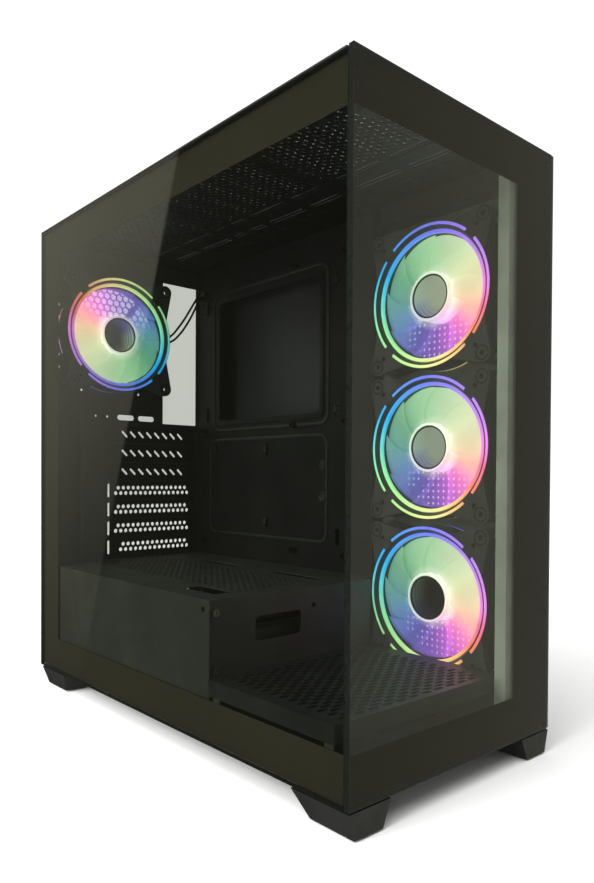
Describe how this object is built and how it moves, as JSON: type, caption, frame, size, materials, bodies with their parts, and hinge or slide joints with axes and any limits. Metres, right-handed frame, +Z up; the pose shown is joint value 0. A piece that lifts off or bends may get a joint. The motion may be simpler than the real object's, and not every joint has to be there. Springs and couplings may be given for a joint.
{
  "type": "desktop computer tower",
  "caption": "Mid-tower computer case with glass front and side, lit side and rear fans, motherboard tray, power supply shroud, drive bays and lift-off panels.",
  "frame": {"origin": "centre of the case's footprint, on the surface it stands on", "axes": "+X towards the steel side, +Y towards the rear, +Z up; the glass side faces -X and the glass front faces -Y"},
  "size_m": [0.216, 0.432, 0.45],
  "materials": {
    "chassis_steel": "satin black powder coat",
    "grey_steel": "satin dark grey powder coat",
    "panel_steel": "fine-textured black powder coat",
    "black_plastic": "fine moulded grain",
    "foot_plastic": "moulded plastic",
    "pad_rubber": "soft matte",
    "screw_steel": "zinc plated",
    "standoff_brass": "machined",
    "board": "solder mask",
    "port_metal": "plated shell",
    "fan_plastic": "fine moulded grain",
    "rotor_plastic": "frosted translucent",
    "light_ring": "frosted light guide",
    "copper": "enamelled windings",
    "clear_glass": "polished tempered",
    "printed_band": "printed on the glass",
    "lead_sheath": "smooth sheath",
    "filter_mesh": "fine mesh in a frame",
    "button_metal": "brushed",
    "foam": "closed foam"
  },
  "bodies": {
    "chassis": {"base_pan": "chassis_steel", "rear_panel": "chassis_steel", "motherboard_tray": "chassis_steel", "top_plate": "chassis_steel", "top_cover": "black_plastic", "front_pillar": "grey_steel", "fan_bracket": "chassis_steel", "psu_shroud": "chassis_steel", "front_deck": "chassis_steel", "deck_brackets": "grey_steel", "slot_covers": "chassis_steel", "slot_retainer": "chassis_steel", "standoffs": "standoff_brass", "panel_clips": "black_plastic", "front_left_foot": "foot_plastic", "front_right_foot": "foot_plastic", "rear_left_foot": "foot_plastic", "rear_right_foot": "foot_plastic", "foot_pads": "pad_rubber", "case_screws": "screw_steel", "io_housing": "black_plastic", "io_board": "board", "io_ports": "port_metal", "button_switches": "black_plastic", "psu_pads": "foam", "drive_cage": "chassis_steel", "ssd_brackets": "chassis_steel", "fan_hub": "black_plastic", "rear_fan_leads": "lead_sheath", "fan_screws": "screw_steel", "rear_fan_frame": "fan_plastic", "rear_fan_motor": "copper", "rear_fan_lights": "light_ring", "upper_fan_frame": "fan_plastic", "upper_fan_motor": "copper", "upper_fan_lights": "light_ring", "middle_fan_frame": "fan_plastic", "middle_fan_motor": "copper", "middle_fan_lights": "light_ring", "lower_fan_frame": "fan_plastic", "lower_fan_motor": "copper", "lower_fan_lights": "light_ring"},
    "rear_rotor": {"rear_fan_rotor": "rotor_plastic"},
    "upper_rotor": {"upper_fan_rotor": "rotor_plastic"},
    "middle_rotor": {"middle_fan_rotor": "rotor_plastic"},
    "lower_rotor": {"lower_fan_rotor": "rotor_plastic"},
    "side_glass_panel": {"side_glass": "clear_glass", "side_glass_band": "printed_band", "side_glass_studs": "screw_steel"},
    "front_glass_panel": {"front_glass": "clear_glass", "front_glass_band": "printed_band", "front_glass_studs": "screw_steel"},
    "side_panel": {"steel_side_panel": "panel_steel", "side_panel_thumbscrews": "black_plastic"},
    "top_filter_frame": {"top_filter": "filter_mesh"},
    "bottom_filter_frame": {"bottom_filter": "filter_mesh"},
    "power_key": {"power_button": "button_metal"},
    "reset_key": {"reset_button": "button_metal"},
    "upper_sled": {"upper_drive_tray": "black_plastic"},
    "lower_sled": {"lower_drive_tray": "black_plastic"}
  },
  "joints": [
    {"name": "rear_fan_spin", "type": "hinge", "parent": "chassis", "child": "rear_rotor", "pos_m": [-0.033, 0.2025, 0.3549], "axis": [0, -1, 0], "continuous": true},
    {"name": "upper_fan_spin", "type": "hinge", "parent": "chassis", "child": "upper_rotor", "pos_m": [0.0817, -0.1283, 0.355], "axis": [-1, 0, 0], "continuous": true},
    {"name": "middle_fan_spin", "type": "hinge", "parent": "chassis", "child": "middle_rotor", "pos_m": [0.0817, -0.1283, 0.2323], "axis": [-1, 0, 0], "continuous": true},
    {"name": "lower_fan_spin", "type": "hinge", "parent": "chassis", "child": "lower_rotor", "pos_m": [0.0817, -0.1283, 0.1096], "axis": [-1, 0, 0], "continuous": true},
    {"name": "side_glass_pull", "type": "slide", "parent": "chassis", "child": "side_glass_panel", "axis": [-1, 0, 0], "range_m": [0, 0.12]},
    {"name": "front_glass_pull", "type": "slide", "parent": "chassis", "child": "front_glass_panel", "axis": [0, -1, 0], "range_m": [0, 0.12]},
    {"name": "side_panel_slide", "type": "slide", "parent": "chassis", "child": "side_panel", "axis": [0, 1, 0], "range_m": [0, 0.025]},
    {"name": "top_filter_lift", "type": "slide", "parent": "chassis", "child": "top_filter_frame", "axis": [0, 0, 1], "range_m": [0, 0.06]},
    {"name": "bottom_filter_slide", "type": "slide", "parent": "chassis", "child": "bottom_filter_frame", "axis": [0, 1, 0], "range_m": [0, 0.15]},
    {"name": "power_press", "type": "slide", "parent": "chassis", "child": "power_key", "axis": [0, 0, -1], "range_m": [0, 0.0012], "stiffness_N_per_m": 900, "springref_m": -0.0006},
    {"name": "reset_press", "type": "slide", "parent": "chassis", "child": "reset_key", "axis": [0, 0, -1], "range_m": [0, 0.0012], "stiffness_N_per_m": 600, "springref_m": -0.0006},
    {"name": "upper_sled_slide", "type": "slide", "parent": "chassis", "child": "upper_sled", "axis": [1, 0, 0], "range_m": [0, 0.022]},
    {"name": "lower_sled_slide", "type": "slide", "parent": "chassis", "child": "lower_sled", "axis": [1, 0, 0], "range_m": [0, 0.022]}
  ]
}
